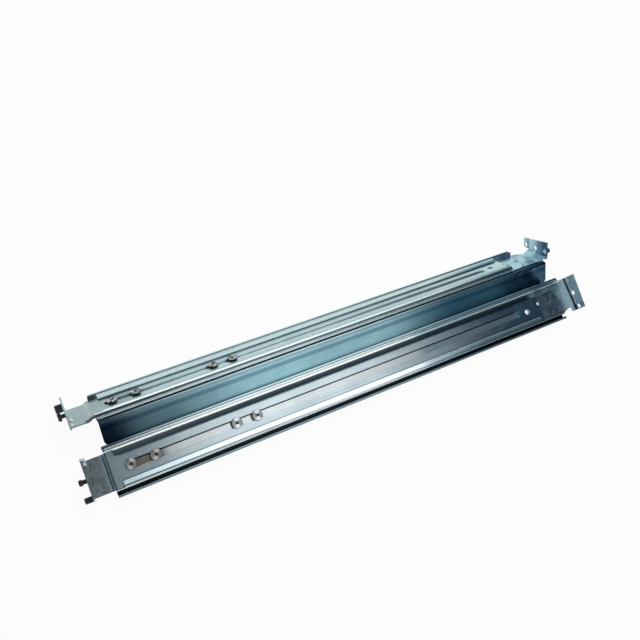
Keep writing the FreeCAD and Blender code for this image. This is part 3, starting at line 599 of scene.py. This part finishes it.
# Press nuts: bright steel collars pressed in the ridge-side hole of each front flange.
# A short threaded bore takes the screw that locks the rail in its rack.
# Turned and zinc plated, with a chamfer at the mouth.
NUT_EDGE = 0.00025
NUT_LIGHT = (0.88, 0.91, 0.92, 1)
NUT_DEEP = (0.5, 0.54, 0.56, 1)
nut_steel = plated_material("nut_steel", NUT_LIGHT, NUT_DEEP, streaks=0.2, clouds=0.5, rough=0.22)
for tag in SIDES:
    nut = finished_copy(tag + "_press_nut", tag + "_threaded_nut", [nut_steel], NUT_EDGE)
    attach(nut, tag + "_extension")
    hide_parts(tag + "_press_nut")

# Front pegs: blackened steel pegs, two on each front flange, that hook into the rack's front posts.
# The top one is a plain rounded block, the middle one a head on a short neck.
# Cold headed, then black oxide over the whole peg, rubbed grey in blotches.
PEG_EDGE = 0.0006
PEG_STEPS = 3
PEG_METAL = 0.6
PEG_OXIDE = (0.012, 0.013, 0.015, 1)
PEG_RUBBED = (0.06, 0.062, 0.066, 1)
PEG_SMOOTHEST = 0.3
PEG_ROUGHEST = 0.5
SPECKLE_SCALE = 500
SPECKLE_STRENGTH = 0.3
BLOTCH_SCALE = 160
peg_black = bpy.data.materials.new("peg_black")
peg_black.use_nodes = True
tree = peg_black.node_tree
surface = tree.nodes["Principled BSDF"]
surface.inputs["Metallic"].default_value = PEG_METAL
spot = object_spot(tree)
speckle = cloudy(tree, spot, SPECKLE_SCALE, detail=4)
blotch = cloudy(tree, spot, BLOTCH_SCALE, detail=3)
tree.links.new(blend_colour(tree, blotch, PEG_OXIDE, PEG_RUBBED), surface.inputs["Base Color"])
tree.links.new(remap(tree, blotch, 0.0, 1.0, PEG_SMOOTHEST, PEG_ROUGHEST), surface.inputs["Roughness"])
sockets = {"Height": speckle, "Strength": SPECKLE_STRENGTH, "Distance": DENT_DEPTH}
tree.links.new(put(tree, "ShaderNodeBump", sockets).outputs["Normal"], surface.inputs["Normal"])
for tag in SIDES:
    for hole in ("top", "mid"):
        node = "%s_front_peg_%s" % (tag, hole)
        peg = finished_copy(node, "%s_%s_hook_peg" % (tag, hole), [peg_black], PEG_EDGE, PEG_STEPS)
        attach(peg, tag + "_extension")
        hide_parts(node)

# Rear pegs: blackened domed pegs riveted in the bottom hole of each rear flange.
# The end inside the flange is hammered over and shows bright steel.
# They stand out behind the flange and find the rack's rear post.
REAR_PEG_EDGE = 0.0004
HAMMERED_DEPTH = 0.0004
HAMMERED_LIGHT = (0.95, 0.97, 0.97, 1)
HAMMERED_DEEP = (0.72, 0.76, 0.78, 1)
HAMMERED_METAL = 0.4
hammered_steel = plated_material("hammered_steel", HAMMERED_LIGHT, HAMMERED_DEEP, streaks=0.2, clouds=0.6,
                                 rough=0.35)
hammered_steel.node_tree.nodes["Principled BSDF"].inputs["Metallic"].default_value = HAMMERED_METAL
for tag in SIDES:
    peg = finished_copy(tag + "_rear_peg", tag + "_rear_hook_peg", [peg_black, hammered_steel], REAR_PEG_EDGE)
    inner = min(v.co.x for v in peg.data.vertices)
    for face in peg.data.polygons:
        face.material_index = 1 if face.center.x < inner + HAMMERED_DEPTH else 0
    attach(peg, "rails")
    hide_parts(tag + "_rear_peg")

# Floor: a plain pale sweep under the pair, white to the camera and in the metal's reflections.
# It keeps a share of the real shading, so that the soft shadow of the rails shows.
FLOOR_SIZE = 12
FLOOR_PALE = (0.9, 0.9, 0.9, 1)
FLOOR_GLOW = 0.94
bpy.ops.mesh.primitive_plane_add(size=FLOOR_SIZE)
floor = bpy.context.object
floor.name = "floor"
pale_floor = bpy.data.materials.new("pale_floor")
pale_floor.use_nodes = True
tree = pale_floor.node_tree
tree.nodes.clear()
rays = put(tree, "ShaderNodeLightPath").outputs
seen = calc(tree, "MAXIMUM", rays["Is Camera Ray"], rays["Is Glossy Ray"])
seen = calc(tree, "MAXIMUM", seen, rays["Is Transmission Ray"])
share = calc(tree, "MULTIPLY", seen, FLOOR_GLOW)
matt = put(tree, "ShaderNodeBsdfDiffuse", {"Color": FLOOR_PALE}).outputs[0]
glow = put(tree, "ShaderNodeEmission", {"Strength": 1.0}).outputs[0]
mixed = put(tree, "ShaderNodeMixShader", {0: share, 1: matt, 2: glow}).outputs[0]
put(tree, "ShaderNodeOutputMaterial", {"Surface": mixed})
floor.data.materials.append(pale_floor)

# Light: two soft boxes over the middle of the pair, the right one brighter, in a dim room.
# The room is pale towards the front, deep blue towards the rear, and has pale walls on both sides.
# Each edge says where a tone of the room begins and where it is full, on one axis of the direction.
ROOM_FRONT = (0.34, 0.43, 0.48, 1)
ROOM_MIDDLE = (0.055, 0.06, 0.062, 1)
ROOM_REAR = (0.036, 0.06, 0.085, 1)
ROOM_LEFT = (0.58, 0.63, 0.65, 1)
ROOM_RIGHT = (0.66, 0.78, 0.78, 1)
ROOM_WHITE = (1, 1, 1, 1)
MIDDLE_EDGE = (-0.38, -0.15)
REAR_EDGE = (0.1, 0.5)
RIGHT_HEIGHT_EDGE = (0.95, 0.62)
RIGHT_EDGE = (0.0, 0.5)
LEFT_EDGE = (-0.45, -0.75)
LEFT_REAR_EDGE = (0.6, 0.42)
world = bpy.data.worlds.new("room")
scene.world = world
world.use_nodes = True
tree = world.node_tree
look = put(tree, "ShaderNodeSeparateXYZ", {0: put(tree, "ShaderNodeTexCoord").outputs["Generated"]}).outputs
middle = remap(tree, look["X"], *MIDDLE_EDGE, kind="SMOOTHSTEP")
rear = remap(tree, look["X"], *REAR_EDGE, kind="SMOOTHSTEP")
room = blend_colour(tree, rear, blend_colour(tree, middle, ROOM_FRONT, ROOM_MIDDLE), ROOM_REAR)
right_low = remap(tree, look["Z"], *RIGHT_HEIGHT_EDGE, kind="SMOOTHSTEP")
right = remap(tree, look["Y"], *RIGHT_EDGE, kind="SMOOTHSTEP")
room = blend_colour(tree, calc(tree, "MULTIPLY", right_low, right), room, ROOM_RIGHT)
left = remap(tree, look["Y"], *LEFT_EDGE, kind="SMOOTHSTEP")
left_not_rear = remap(tree, look["X"], *LEFT_REAR_EDGE, kind="SMOOTHSTEP")
room = blend_colour(tree, calc(tree, "MULTIPLY", left, left_not_rear), room, ROOM_LEFT)
direct = put(tree, "ShaderNodeLightPath").outputs["Is Camera Ray"]
room = blend_colour(tree, direct, room, ROOM_WHITE)
tree.links.new(room, tree.nodes["Background"].inputs["Color"])

RIGHT_BOX_PLACE = (0.26, 0.45, 1.2)
RIGHT_BOX_SIZE = (0.92, 1.2)
RIGHT_BOX_POWER = 6.0
LEFT_BOX_PLACE = (0.345, -0.62, 1.2)
LEFT_BOX_SIZE = (0.69, 0.94)
LEFT_BOX_POWER = 2.0
for name, place, size, power in (("right_box", RIGHT_BOX_PLACE, RIGHT_BOX_SIZE, RIGHT_BOX_POWER),
                                 ("left_box", LEFT_BOX_PLACE, LEFT_BOX_SIZE, LEFT_BOX_POWER)):
    lamp = bpy.data.lights.new(name, "AREA")
    lamp.shape = "RECTANGLE"
    lamp.size, lamp.size_y = size
    lamp.energy = power
    holder = bpy.data.objects.new(name, lamp)
    scene.collection.objects.link(holder)
    holder.location = place

# Camera: over the left rail's front end, as the photograph was taken.
# A normal lens on a full frame sensor, looking down along the pair.
SENSOR_WIDTH = 36
LENS = 40.419
EYE_PLACE = (-0.28343, -0.35330, 0.59323)
EYE_TURN = (39.5755, -5.6834, -27.8741)
camera = bpy.data.cameras.new("camera")
camera.sensor_width = SENSOR_WIDTH
camera.lens = LENS
eye = bpy.data.objects.new("camera", camera)
scene.collection.objects.link(eye)
eye.location = EYE_PLACE
eye.rotation_euler = [math.radians(angle) for angle in EYE_TURN]
scene.camera = eye
scene.view_settings.view_transform = "Standard"
